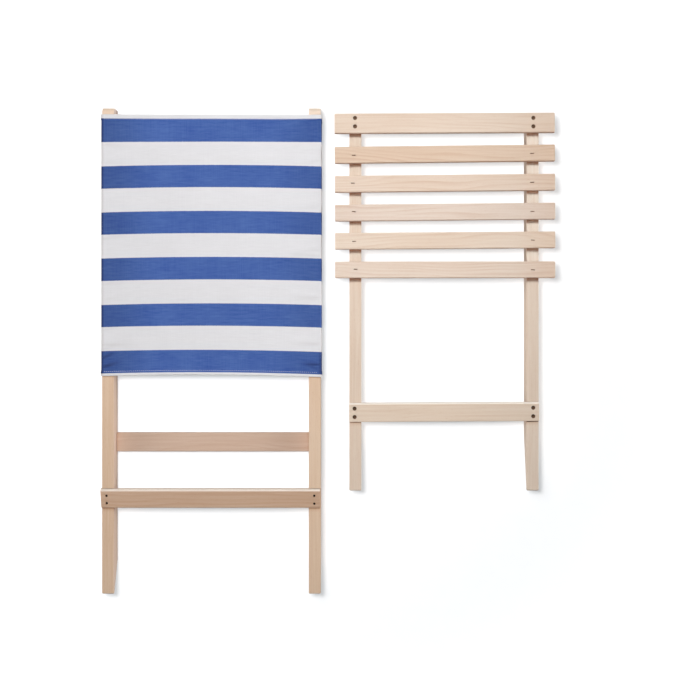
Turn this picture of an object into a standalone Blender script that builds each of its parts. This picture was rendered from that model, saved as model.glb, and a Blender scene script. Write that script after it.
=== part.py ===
"""Slot-together wooden beach chair, taken apart and laid flat.

The chair is two loose halves.  The back half is a pair of long rails with
three crossbars and a fabric panel.  The seat half is a pair of shorter rails
with six slats and one crossbar.  In use the seat half's legs slide through
the window between the back half's two lower crossbars.  Here both halves lie
on the floor, front faces up, side by side.

Metres, +Z up.  +Y runs towards the top of the back, +X towards the seat half.
The origin is on the floor, under the middle of the whole layout.
"""
from collections import namedtuple
from math import cos, pi, radians, sin

import bmesh
import bpy
from mathutils import Matrix, Vector

# ---------------------------------------------------------------- both halves
GAP = 0.0003                 # clearance between pieces that touch
HOLE_CLEARANCE = 0.0003      # clearance of a hole around its fastener

RAIL_WIDTH = 0.022           # across the chair
RAIL_DEPTH = 0.040           # front to rear
TIP_DEPTH = 0.004            # depth left at the end of a ground facet
TIP_RADIUS = 0.0035          # rounding around a rail's tip
RAIL_EDGE_RADIUS = 0.0009

BAR_DEPTH = 0.012            # crossbars and slats, front to rear
BAR_WIDTH = 0.035            # crossbars, along the rails
BAR_EDGE_RADIUS = 0.0012
LET_IN = 0.0090              # how deep a front crossbar is let into its rails
TRENCH_OVERRUN = 0.02        # extra length of a trench cutter, both ends together

BACK_X = -0.2125             # centre line of the back half
SEAT_X = 0.2140              # centre line of the seat half

# ------------------------------------------------------------------ back half
CHAIR_WIDTH = 0.400          # outer width of the back rails
BACK_LENGTH = 0.8895
BACK_RAIL_X = CHAIR_WIDTH / 2 - RAIL_WIDTH / 2   # rail from the half's centre line
BACK_RAIL_Y = 0.00075        # middle of the rails
BACK_REAR_Z = 0.0023         # rear face of the rails above the floor
BACK_FRONT_Z = BACK_REAR_Z + RAIL_DEPTH
BACK_TOP_RADIUS = 0.0120     # rounding of a rail's front edge at its top end
BACK_FACET_LENGTH = 0.058    # ground facet

# crossbar let into the front faces, below the window
LOWER_BAR_Y = -0.269
LOWER_BAR_Z = BACK_FRONT_Z - LET_IN      # its rear face
LOWER_BAR_RADIUS = 0.0060    # rounding of its upper front edge, which the seat rests on
LOWER_BAR_LENGTH = 0.401
LOWER_BAR_DRIFT = -0.0015    # it was fixed a little to the left
LOWER_BAR_SKEW = 0.0011      # its left end isn't sawn quite square
# its screws, from the back's centre line: across, along
LOWER_BAR_SCREWS = (
    (-0.1914, -0.2646), (-0.1909, -0.2781), (0.1881, -0.2646), (0.1883, -0.2791),
)

# crossbars between the rails, flush with their rear faces: name, place along
# the rails.  The middle one is above the window, the top one behind the fabric.
SPREADERS = (("middle", -0.168), ("top", 0.405))
SPREADER_LENGTH = CHAIR_WIDTH - 2 * RAIL_WIDTH - 2 * GAP
SPREADER_SCREW_OFFSET = 0.009    # screws either side of the spreader's middle

# fabric panel
FABRIC_THICKNESS = 0.0012
FABRIC_LOW_Y = -0.048
FABRIC_TOP_Y = 0.433
FABRIC_FLAP = 0.018          # how far the fabric returns over a rail's rear face
FABRIC_RADIUS = 0.0022       # outer radius where the fabric turns a corner
FABRIC_CORNER_STEPS = 3
STAPLES_PER_SIDE = 6
FABRIC_STAPLE_X = 0.1895     # from the back's centre line
FABRIC_STAPLE_LOW_Y = FABRIC_LOW_Y + 0.010
FABRIC_STAPLE_TOP_Y = FABRIC_TOP_Y - 0.009
FABRIC_SPIN_STEP = 0.8       # degrees, unit of the staples' uneven turn

# ------------------------------------------------------------------ seat half
SEAT_RAIL_X = 0.1622         # rail from the seat's centre line
SEAT_DRIFT = -0.0010         # rails and crossbar sit a little left of the slats' middle
SEAT_FRAME_X = SEAT_X + SEAT_DRIFT
SEAT_TIP_Y = -0.2555         # leg tips
SEAT_FRONT_Y = 0.431         # front ends
SEAT_FACET_LENGTH = 0.0985   # ground facet

# crossbar let into the front faces, near the leg tips
SEAT_BAR_Y = -0.1115
SEAT_BAR_Z = RAIL_DEPTH - LET_IN         # its rear face
SEAT_BAR_LENGTH = 0.3475
SEAT_BAR_RADIUS = 0.0040     # rounding of its upper front edge
SEAT_BAR_TILT = 0.30         # degrees

FIRST_SLAT_WIDTH = 0.036
SLAT_WIDTH = 0.030
SLAT_LENGTH = 0.4015
SLAT_EDGE_RADIUS = 0.0015
SLAT_Z = RAIL_DEPTH + GAP                # rear faces
SLAT_TOP_Z = SLAT_Z + BAR_DEPTH
# place along the rails, sideways drift, tilt in degrees; front slat first.  The
# slats were nailed down by eye and none is quite square.
SLATS = (
    (0.4155, -0.0006, 0.27),
    (0.3591, -0.0002, 0.63),
    (0.3060, 0.0001, 0.60),
    (0.2534, 0.0003, 0.55),
    (0.2015, 0.0004, 0.40),
    (0.1481, 0.0003, 0.05),
)

# fasteners, from the seat's centre line: across, along.  The first slat is
# screwed down; each of the others has a left and a right staple.
SLAT_SCREWS = (
    (-0.1638, 0.4245), (-0.1638, 0.4091), (0.1611, 0.4247), (0.1611, 0.4092),
)
SLAT_STAPLES = (
    (-0.1661, 0.3563), (0.1587, 0.3600),
    (-0.1677, 0.3057), (0.1589, 0.3073),
    (-0.1659, 0.2539), (0.1594, 0.2543),
    (-0.1653, 0.1998), (0.1601, 0.2020),
    (-0.1627, 0.1489), (0.1602, 0.1479),
)
SEAT_BAR_SCREWS = (
    (-0.1646, -0.1053), (-0.1646, -0.1208), (0.1621, -0.1038), (0.1621, -0.1193),
)
SLAT_STAPLE_SINK = 0.0001    # crown below the slat's face
SLAT_SPIN_STEP = 1.6         # degrees, unit of the staples' uneven turn

# the line the seat half turns over about, onto the back half
HINGE_X = (BACK_X + SEAT_X) / 2
HINGE_Z = 0.0495

# ------------------------------------------------------------------ fasteners
# head radius, shank radius, length, depth of the head below the face
Screw = namedtuple("Screw", "head shank length sink")
WOOD_SCREW = Screw(head=0.0036, shank=0.0018, length=0.032, sink=0.0012)
SMALL_SCREW = Screw(head=0.0021, shank=0.0014, length=0.030, sink=0.0030)
SIDE_SCREW = Screw(head=0.0036, shank=0.0019, length=0.042, sink=0.0005)
SCREW_SEGMENTS = 12
HEAD_RIM = 0.1               # straight rim of a head, as a share of its radius
POINT_LENGTH = 3             # tapered point, in shank radii
HOLE_RISE = 0.004            # how far a screw's hole cutter stands above the face
UPRIGHT_SCREW_TURN = 23      # degrees about the screw's own axis

# crown width, leg length, wire width and thickness, extra height of its slot
Staple = namedtuple("Staple", "crown leg width thick rise")
SLAT_STAPLE = Staple(crown=0.0066, leg=0.025, width=0.0011, thick=0.0008, rise=0.003)
FABRIC_STAPLE = Staple(crown=0.0100, leg=0.009, width=0.0011, thick=0.00045, rise=0.0)

# ------------------------------------------------------------------- finishes
# sRGB colour 0-255, roughness, metallic
Finish = namedtuple("Finish", "rgb roughness metallic", defaults=(0.0,))
BACK_WOOD = Finish(rgb=(206, 178, 153), roughness=0.62)
LOWER_BAR_WOOD = Finish(rgb=(195, 165, 142), roughness=0.6)
SPREADER_WOOD = Finish(rgb=(195, 165, 142), roughness=0.62)
SEAT_WOOD = Finish(rgb=(219, 197, 176), roughness=0.6)
SLAT_WOOD = Finish(rgb=(233, 212, 196), roughness=0.58)
STEEL = Finish(rgb=(120, 112, 100), roughness=0.45, metallic=0.9)
WIRE = Finish(rgb=(128, 122, 112), roughness=0.4, metallic=0.9)
CLOTH = Finish(rgb=(120, 142, 192), roughness=0.9)


# -------------------------------------------------------- materials and objects
def linear(value):
    """An sRGB channel, 0-255, as linear light, 0-1."""
    share = value / 255.0
    return share / 12.92 if share <= 0.04045 else ((share + 0.055) / 1.055) ** 2.4


def make_material(name, finish):
    mat = bpy.data.materials.new(name)
    mat.use_nodes = True
    shader = mat.node_tree.nodes["Principled BSDF"]
    colour = tuple(linear(value) for value in finish.rgb) + (1.0,)
    shader.inputs["Base Color"].default_value = colour
    shader.inputs["Roughness"].default_value = finish.roughness
    shader.inputs["Metallic"].default_value = finish.metallic
    mat.diffuse_color = colour
    return mat


def add_empty(name, location):
    obj = bpy.data.objects.new(name, None)
    obj.empty_display_size = 0.05
    bpy.context.scene.collection.objects.link(obj)
    obj.location = location
    return obj


def add_object(name, shape, finish=None, parent=None, location=(0, 0, 0), turn=(0, 0, 0)):
    """Turn a bmesh into an object with a material of its own name.

    location is in world space.
    """
    bmesh.ops.recalc_face_normals(shape, faces=shape.faces)
    mesh = bpy.data.meshes.new(name)
    shape.to_mesh(mesh)
    shape.free()
    obj = bpy.data.objects.new(name, mesh)
    bpy.context.scene.collection.objects.link(obj)
    if finish is not None:
        mesh.materials.append(make_material(name, finish))
    where = Vector(location)
    if parent is not None:
        obj.parent = parent
        where = where - parent.location
    obj.location = where
    obj.rotation_euler = turn
    return obj


def add_cutter(name, shape, **placing):
    obj = add_object(name, shape, **placing)
    obj.hide_render = True
    obj.display_type = 'WIRE'
    return obj


def soften(obj, width):
    bevel = obj.modifiers.new("soft edges", 'BEVEL')
    bevel.width = width
    bevel.segments = 2
    bevel.limit_method = 'ANGLE'
    bevel.angle_limit = radians(30)


def drill(obj, cutter):
    cut = obj.modifiers.new("holes for " + cutter.name, 'BOOLEAN')
    cut.operation = 'DIFFERENCE'
    cut.solver = 'EXACT'
    cut.object = cutter


# --------------------------------------------------------------------- shapes
def round_edges(shape, test, radius, segments=4):
    """Round the edges whose two ends both pass the test."""
    edges = [edge for edge in shape.edges if all(test(vert.co) for vert in edge.verts)]
    bmesh.ops.bevel(shape, geom=edges, offset=radius, segments=segments,
                    profile=0.5, affect='EDGES', clamp_overlap=True)


def round_upper_front_edge(shape, radius):
    round_edges(shape, lambda point: point.y > 0 and point.z > 0, radius)


def block(*size):
    """A box centred on the origin."""
    shape = bmesh.new()
    bmesh.ops.create_cube(shape, size=1.0)
    bmesh.ops.scale(shape, vec=size, verts=shape.verts)
    return shape


def rail_shape(length, facet_length, top_radius=0.0):
    """A rail centred on the origin.

    Its rear face is cut away to a thin tip at the -Y end, so that it can stand
    flat on the ground.  top_radius rounds over the front edge of the +Y end.
    """
    half = length / 2
    front, rear = RAIL_DEPTH / 2, -RAIL_DEPTH / 2
    side = [(-half, front), (-half, front - TIP_DEPTH), (-half + facet_length, rear),
            (half, rear)]
    if top_radius:
        side += [(half - top_radius + top_radius * cos(pi * k / 10),
                  front - top_radius + top_radius * sin(pi * k / 10)) for k in range(6)]
    else:
        side.append((half, front))
    shape = bmesh.new()
    left = shape.faces.new([shape.verts.new((-RAIL_WIDTH / 2, y, z)) for y, z in side])
    grown = bmesh.ops.extrude_face_region(shape, geom=[left])
    moved = [item for item in grown["geom"] if isinstance(item, bmesh.types.BMVert)]
    bmesh.ops.translate(shape, vec=(RAIL_WIDTH, 0, 0), verts=moved)
    bmesh.ops.recalc_face_normals(shape, faces=shape.faces)
    tip_y = -(half - 1e-6)
    round_edges(shape, lambda point: point.y < tip_y, TIP_RADIUS, segments=3)
    return shape


def lathe(profile):
    """Turn (radius, z) points about Z.  The first and last are on the axis."""
    shape = bmesh.new()
    rings = []
    for radius, z in profile:
        if radius == 0:
            rings.append([shape.verts.new((0, 0, z))])
        else:
            angles = [2 * pi * i / SCREW_SEGMENTS for i in range(SCREW_SEGMENTS)]
            rings.append([shape.verts.new((radius * cos(angle), radius * sin(angle), z))
                          for angle in angles])
    for upper, lower in zip(rings, rings[1:]):
        for i in range(SCREW_SEGMENTS):
            j = (i + 1) % SCREW_SEGMENTS
            if len(upper) == 1:
                shape.faces.new((upper[0], lower[i], lower[j]))
            elif len(lower) == 1:
                shape.faces.new((upper[i], lower[0], upper[j]))
            else:
                shape.faces.new((upper[i], lower[i], lower[j], upper[j]))
    return shape


def screw_shape(kind):
    """Countersunk wood screw, head top at z=0, running down -Z."""
    head, shank, length = kind.head, kind.shank, kind.length
    rim_z = -HEAD_RIM * head
    return lathe((
        # dished recess in the head
        (0, -0.42 * head), (0.30 * head, -0.36 * head), (0.46 * head, 0),
        # rim and countersink
        (head, 0), (head, rim_z), (shank, rim_z - (head - shank)),
        # shank and point
        (shank, -length + POINT_LENGTH * shank), (0, -length)))


def screw_hole(kind):
    """The hole a screw sits in, open above the head."""
    head = kind.head + HOLE_CLEARANCE
    shank = kind.shank + HOLE_CLEARANCE
    top_z = kind.sink + HOLE_RISE
    # 0.6 of the clearance keeps the cone clear of the screw's own
    rim_z = -HEAD_RIM * kind.head - 0.6 * HOLE_CLEARANCE
    return lathe((
        (0, top_z), (head, top_z), (head, rim_z), (shank, rim_z - (head - shank)),
        (shank, -kind.length + POINT_LENGTH * kind.shank),
        (0, -kind.length - 2 * HOLE_CLEARANCE)))


def staple_shape(kind, grow=0.0, rise=0.0):
    """A staple seen as a bridge: crown on top at z=0 along X, legs down -Z.

    grow thickens it all round and rise heightens its crown, for a slot.
    """
    outer = kind.crown / 2 + grow
    inner = kind.crown / 2 - kind.thick - grow
    top = grow + rise
    under = -kind.thick - grow
    foot = -kind.leg - grow
    outline = ((-outer, top), (-outer, foot), (-inner, foot), (-inner, under),
               (inner, under), (inner, foot), (outer, foot), (outer, top))
    width = kind.width + 2 * grow
    shape = bmesh.new()
    near = [shape.verts.new((x, -width / 2, z)) for x, z in outline]
    far = [shape.verts.new((x, width / 2, z)) for x, z in outline]
    for i in range(len(outline)):
        j = (i + 1) % len(outline)
        shape.faces.new((near[i], near[j], far[j], far[i]))
    # the two flat sides, each as three quads: left leg, crown, right leg
    for ring in (near, far):
        for quad in ((1, 2, 3, 0), (0, 3, 4, 7), (4, 5, 6, 7)):
            shape.faces.new([ring[i] for i in quad])
    return shape


def fabric_shape():
    """The panel as a C-shaped sleeve: front sheet, two sides, two rear flaps."""
    outer_x = CHAIR_WIDTH / 2 + GAP + FABRIC_THICKNESS
    front_z = BACK_FRONT_Z + GAP + FABRIC_THICKNESS
    rear_z = BACK_REAR_Z - GAP - FABRIC_THICKNESS
    flap_x = outer_x - FABRIC_FLAP
    corner_x = outer_x - FABRIC_RADIUS
    inner_radius = FABRIC_RADIUS - FABRIC_THICKNESS

    # matching points along the C, from the left flap to the right one
    outer = [(-flap_x, rear_z)]
    inner = [(-flap_x, rear_z + FABRIC_THICKNESS)]
    # corner centre x and z, start angle; each turns a quarter clockwise
    for centre_x, centre_z, start in (
            (-corner_x, rear_z + FABRIC_RADIUS, 270),
            (-corner_x, front_z - FABRIC_RADIUS, 180),
            (corner_x, front_z - FABRIC_RADIUS, 90),
            (corner_x, rear_z + FABRIC_RADIUS, 0)):
        for k in range(FABRIC_CORNER_STEPS + 1):
            angle = radians(start - 90 * k / FABRIC_CORNER_STEPS)
            for points, radius in ((outer, FABRIC_RADIUS), (inner, inner_radius)):
                points.append((centre_x + radius * cos(angle),
                               centre_z + radius * sin(angle)))
    outer.append((flap_x, rear_z))
    inner.append((flap_x, rear_z + FABRIC_THICKNESS))

    shape = bmesh.new()
    low_outer, low_inner, top_outer, top_inner = [
        [shape.verts.new((x, y, z)) for x, z in points]
        for y in (FABRIC_LOW_Y, FABRIC_TOP_Y) for points in (outer, inner)]
    for i in range(len(outer) - 1):
        j = i + 1
        shape.faces.new((low_outer[i], low_outer[j], top_outer[j], top_outer[i]))
        shape.faces.new((low_inner[i], top_inner[i], top_inner[j], low_inner[j]))
        shape.faces.new((low_outer[i], low_inner[i], low_inner[j], low_outer[j]))
        shape.faces.new((top_outer[i], top_outer[j], top_inner[j], top_inner[i]))
    shape.faces.new((low_outer[0], top_outer[0], top_inner[0], low_inner[0]))
    shape.faces.new((low_outer[-1], low_inner[-1], top_inner[-1], top_outer[-1]))
    return shape


# ------------------------------------------------------------- shared pieces
def add_rail(name, shape, finish, parent, location):
    rail = add_object(name, shape, finish, parent, location)
    soften(rail, RAIL_EDGE_RADIUS)
    return rail


def add_bar(name, shape, finish, parent, location, tilt=0.0, edge=BAR_EDGE_RADIUS):
    """A crossbar or slat; location is the middle of its rear face."""
    x, y, rear_z = location
    bar = add_object(name, shape, finish, parent, (x, y, rear_z + BAR_DEPTH / 2),
                     (0, 0, radians(tilt)))
    soften(bar, edge)
    return bar


def add_housing(name, length, location, tilt=0.0):
    """The trench a crossbar is let into, open at the front and both ends."""
    x, y, rear_z = location
    depth = 2 * LET_IN
    return add_cutter(name, block(length + TRENCH_OVERRUN, BAR_WIDTH + 2 * GAP, depth),
                      location=(x, y, rear_z - GAP + depth / 2),
                      turn=(0, 0, radians(tilt)))


class Fasteners:
    """Places fasteners of one half, and collects the matching holes."""

    def __init__(self, parent):
        self.parent = parent
        self.holes = bmesh.new()

    def _collect(self, shape, matrix):
        bmesh.ops.recalc_face_normals(shape, faces=shape.faces)
        shape.transform(matrix)
        scratch = bpy.data.meshes.new("scratch")
        shape.to_mesh(scratch)
        shape.free()
        self.holes.from_mesh(scratch)
        bpy.data.meshes.remove(scratch)

    def screw(self, name, kind, position, side=0):
        """position is the point on the wood's face.

        The head faces up, or left or right when side is -1 or 1.
        """
        if side:
            angle = side * pi / 2
            turn = (0, angle, 0)
            rotation = Matrix.Rotation(angle, 4, 'Y')
            outward = Vector((side, 0, 0))
        else:
            angle = radians(UPRIGHT_SCREW_TURN)
            turn = (0, 0, angle)
            rotation = Matrix.Rotation(angle, 4, 'Z')
            outward = Vector((0, 0, 1))
        place = Vector(position) - outward * kind.sink
        obj = add_object(name, screw_shape(kind), STEEL, self.parent, place, turn)
        obj.data.shade_smooth()
        obj.data.set_sharp_from_angle(angle=radians(35))
        self._collect(screw_hole(kind), Matrix.Translation(place) @ rotation)

    def staple(self, name, kind, position, spin, from_below=False):
        """position is the outer face of the crown.

        The crown lies across the chair, or along it when driven from below.
        """
        angle = radians(spin) + (pi / 2 if from_below else 0.0)
        flip = pi if from_below else 0
        add_object(name, staple_shape(kind), WIRE, self.parent, position, (flip, 0, angle))
        matrix = (Matrix.Translation(Vector(position)) @ Matrix.Rotation(angle, 4, 'Z')
                  @ Matrix.Rotation(flip, 4, 'X'))
        self._collect(staple_shape(kind, HOLE_CLEARANCE, kind.rise), matrix)

    def cutter(self, name):
        return add_cutter(name, self.holes)


# ------------------------------------------------------------------ back half
def add_lower_bar(frame):
    shape = block(LOWER_BAR_LENGTH, BAR_WIDTH, BAR_DEPTH)
    for vert in shape.verts:
        if vert.co.x < 0:
            vert.co.x -= LOWER_BAR_SKEW * (1 if vert.co.y > 0 else -1)
    round_upper_front_edge(shape, LOWER_BAR_RADIUS)
    return add_bar("back_lower_crossbar", shape, LOWER_BAR_WOOD, frame,
                   (BACK_X + LOWER_BAR_DRIFT, LOWER_BAR_Y, LOWER_BAR_Z))


def add_back_screws(frame):
    fasteners = Fasteners(frame)
    for number, (x, y) in enumerate(LOWER_BAR_SCREWS, start=1):
        fasteners.screw("lower_crossbar_screw_%d" % number, SMALL_SCREW,
                        (BACK_X + x, y, LOWER_BAR_Z + BAR_DEPTH))
    offset = SPREADER_SCREW_OFFSET
    places = ((-1, offset), (-1, -offset), (1, offset), (1, -offset))
    for label, bar_y in SPREADERS:
        for number, (side, along) in enumerate(places, start=1):
            fasteners.screw("%s_crossbar_screw_%d" % (label, number), SIDE_SCREW,
                            (BACK_X + side * CHAIR_WIDTH / 2, bar_y + along,
                             BACK_REAR_Z + BAR_DEPTH / 2), side)
    return fasteners.cutter("back_screw_holes")


def add_fabric_staples(frame):
    """Staples through the rear flaps, crowns level with the floor."""
    fasteners = Fasteners(frame)
    run = FABRIC_STAPLE_TOP_Y - FABRIC_STAPLE_LOW_Y
    number = 0
    for side in (-1, 1):
        for k in range(STAPLES_PER_SIDE):
            number += 1
            y = FABRIC_STAPLE_LOW_Y + run * k / (STAPLES_PER_SIDE - 1)
            fasteners.staple("fabric_staple_%d" % number, FABRIC_STAPLE,
                             (BACK_X + side * FABRIC_STAPLE_X, y, 0.0),
                             spin=(k * 37 % 11 - 5) * FABRIC_SPIN_STEP, from_below=True)
    return fasteners.cutter("fabric_staple_slots")


def build_back_half():
    frame = add_empty("back_half_origin", (BACK_X, 0, 0))
    rails = [
        add_rail("back_rail_" + label,
                 rail_shape(BACK_LENGTH, BACK_FACET_LENGTH, BACK_TOP_RADIUS), BACK_WOOD, frame,
                 (BACK_X + side * BACK_RAIL_X, BACK_RAIL_Y, BACK_REAR_Z + RAIL_DEPTH / 2))
        for label, side in (("left", -1), ("right", 1))]
    trench = add_housing("lower_crossbar_housing", CHAIR_WIDTH,
                         (BACK_X, LOWER_BAR_Y, LOWER_BAR_Z))
    bars = [add_lower_bar(frame)]
    for label, y in SPREADERS:
        bars.append(add_bar("back_%s_crossbar" % label,
                            block(SPREADER_LENGTH, BAR_WIDTH, BAR_DEPTH),
                            SPREADER_WOOD, frame, (BACK_X, y, BACK_REAR_Z)))
    fabric = add_object("back_fabric", fabric_shape(), CLOTH, frame, (BACK_X, 0, 0))

    screw_holes = add_back_screws(frame)
    staple_slots = add_fabric_staples(frame)
    for rail in rails:
        for cutter in (trench, screw_holes, staple_slots):
            drill(rail, cutter)
    for bar in bars:
        drill(bar, screw_holes)
    drill(fabric, staple_slots)


# ------------------------------------------------------------------ seat half
def add_slats(frame):
    slats = []
    for number, (y, drift, tilt) in enumerate(SLATS, start=1):
        width = FIRST_SLAT_WIDTH if number == 1 else SLAT_WIDTH
        slats.append(add_bar("seat_slat_%d" % number, block(SLAT_LENGTH, width, BAR_DEPTH),
                             SLAT_WOOD, frame, (SEAT_X + drift, y, SLAT_Z),
                             tilt, SLAT_EDGE_RADIUS))
    return slats


def add_seat_bar(frame):
    shape = block(SEAT_BAR_LENGTH, BAR_WIDTH, BAR_DEPTH)
    round_upper_front_edge(shape, SEAT_BAR_RADIUS)
    return add_bar("seat_crossbar", shape, SEAT_WOOD, frame,
                   (SEAT_FRAME_X, SEAT_BAR_Y, SEAT_BAR_Z), SEAT_BAR_TILT)


def add_seat_fasteners(frame):
    fasteners = Fasteners(frame)
    for label, places, face_z in (
            ("slat_screw", SLAT_SCREWS, SLAT_TOP_Z),
            ("seat_crossbar_screw", SEAT_BAR_SCREWS, SEAT_BAR_Z + BAR_DEPTH)):
        for number, (x, y) in enumerate(places, start=1):
            fasteners.screw("%s_%d" % (label, number), WOOD_SCREW, (SEAT_X + x, y, face_z))
    for number, (x, y) in enumerate(SLAT_STAPLES, start=1):
        slat_tilt = SLATS[(number + 1) // 2][2]
        fasteners.staple("slat_staple_%d" % number, SLAT_STAPLE,
                         (SEAT_X + x, y, SLAT_TOP_Z - SLAT_STAPLE_SINK),
                         spin=slat_tilt + SLAT_SPIN_STEP * (number * 7 % 5 - 2))
    return fasteners.cutter("seat_fastener_holes")


def build_seat_half():
    # everything hangs from an empty on the line the half turns over about
    frame = add_empty("seat_half_turning_line", (HINGE_X, 0, HINGE_Z))
    rails = [
        add_rail("seat_rail_" + label,
                 rail_shape(SEAT_FRONT_Y - SEAT_TIP_Y, SEAT_FACET_LENGTH), SEAT_WOOD, frame,
                 (SEAT_FRAME_X + side * SEAT_RAIL_X, (SEAT_TIP_Y + SEAT_FRONT_Y) / 2,
                  RAIL_DEPTH / 2))
        for label, side in (("left", -1), ("right", 1))]
    trench = add_housing("seat_crossbar_housing", SEAT_BAR_LENGTH,
                         (SEAT_FRAME_X, SEAT_BAR_Y, SEAT_BAR_Z), SEAT_BAR_TILT)
    for rail in rails:
        drill(rail, trench)
    boards = add_slats(frame) + [add_seat_bar(frame)]

    holes = add_seat_fasteners(frame)
    for board in rails + boards:
        drill(board, holes)


for old in list(bpy.data.objects):
    bpy.data.objects.remove(old, do_unlink=True)
build_back_half()
build_seat_half()
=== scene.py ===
"""A beech chair in two halves, laid flat side by side on a paper floor.

The back half, around x = -0.21, has two rails, three crossbars and a sheet of striped cloth.
The seat half, on the +x side, has two rails, a crossbar and six slats.
x runs across the chair, y up it, and z out of the faces towards the camera overhead.
"""

from collections import namedtuple
from math import atan2, cos, exp, pi, radians, sin, sqrt

import bmesh
import bpy
from mathutils import Matrix, Vector, noise


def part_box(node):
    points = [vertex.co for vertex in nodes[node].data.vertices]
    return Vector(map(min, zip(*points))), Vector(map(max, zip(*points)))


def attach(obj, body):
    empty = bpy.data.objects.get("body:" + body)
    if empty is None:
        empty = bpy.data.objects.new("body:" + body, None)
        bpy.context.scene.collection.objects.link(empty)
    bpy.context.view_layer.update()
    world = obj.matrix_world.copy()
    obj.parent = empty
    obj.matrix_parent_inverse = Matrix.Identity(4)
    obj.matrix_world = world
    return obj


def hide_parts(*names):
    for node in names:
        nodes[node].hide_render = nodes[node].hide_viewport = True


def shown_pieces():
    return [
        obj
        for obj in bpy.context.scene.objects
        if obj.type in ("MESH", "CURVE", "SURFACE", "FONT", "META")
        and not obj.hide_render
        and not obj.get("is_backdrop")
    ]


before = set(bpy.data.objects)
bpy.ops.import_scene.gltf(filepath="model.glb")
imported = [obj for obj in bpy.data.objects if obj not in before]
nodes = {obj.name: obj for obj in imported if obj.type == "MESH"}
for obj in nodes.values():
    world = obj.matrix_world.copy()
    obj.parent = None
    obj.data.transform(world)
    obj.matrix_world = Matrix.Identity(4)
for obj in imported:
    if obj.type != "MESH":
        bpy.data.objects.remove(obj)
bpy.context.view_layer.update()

MM = 0.001
BACK_X = -0.2125               # middle of the back half


# -------------------------------------------------------------------- helpers
def tone(red, green, blue):
    """sRGB 0-255 to linear."""
    linear = []
    for value in (red, green, blue):
        share = value / 255.0
        linear.append(share / 12.92 if share <= 0.04045 else ((share + 0.055) / 1.055) ** 2.4)
    return tuple(linear)


def smooth(start, stop, value):
    """0 at start, 1 at stop, eased at both ends."""
    share = min(1.0, max(0.0, (value - start) / (stop - start)))
    return share * share * (3 - 2 * share)


def to_mesh(name, solid):
    mesh = bpy.data.meshes.new(name)
    solid.to_mesh(mesh)
    solid.free()
    return mesh


def link_object(name, mesh):
    made = bpy.data.objects.new(name, mesh)
    bpy.context.scene.collection.objects.link(made)
    return made


def shaded_object(name, mesh, material, sharp):
    """An object shaded smooth, with edges over sharp degrees kept crisp."""
    mesh.shade_smooth()
    mesh.set_sharp_from_angle(angle=radians(sharp))
    mesh.materials.append(material)
    return link_object(name, mesh)


def stand_for(made, node):
    """Make an object take the place of a CAD node."""
    in_back = node.startswith(("back_", "lower_", "middle_", "top_", "fabric_"))
    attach(made, "back_half" if in_back else "seat_half")
    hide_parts(node)


def skin(solid, rings):
    """Walls between the rings and a cap at each end."""
    count = len(rings[0])
    for here, there in zip(rings, rings[1:]):
        for i in range(count):
            j = (i + 1) % count
            solid.faces.new((here[i], here[j], there[j], there[i]))
    solid.faces.new(rings[0][::-1])
    solid.faces.new(rings[-1])


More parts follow.
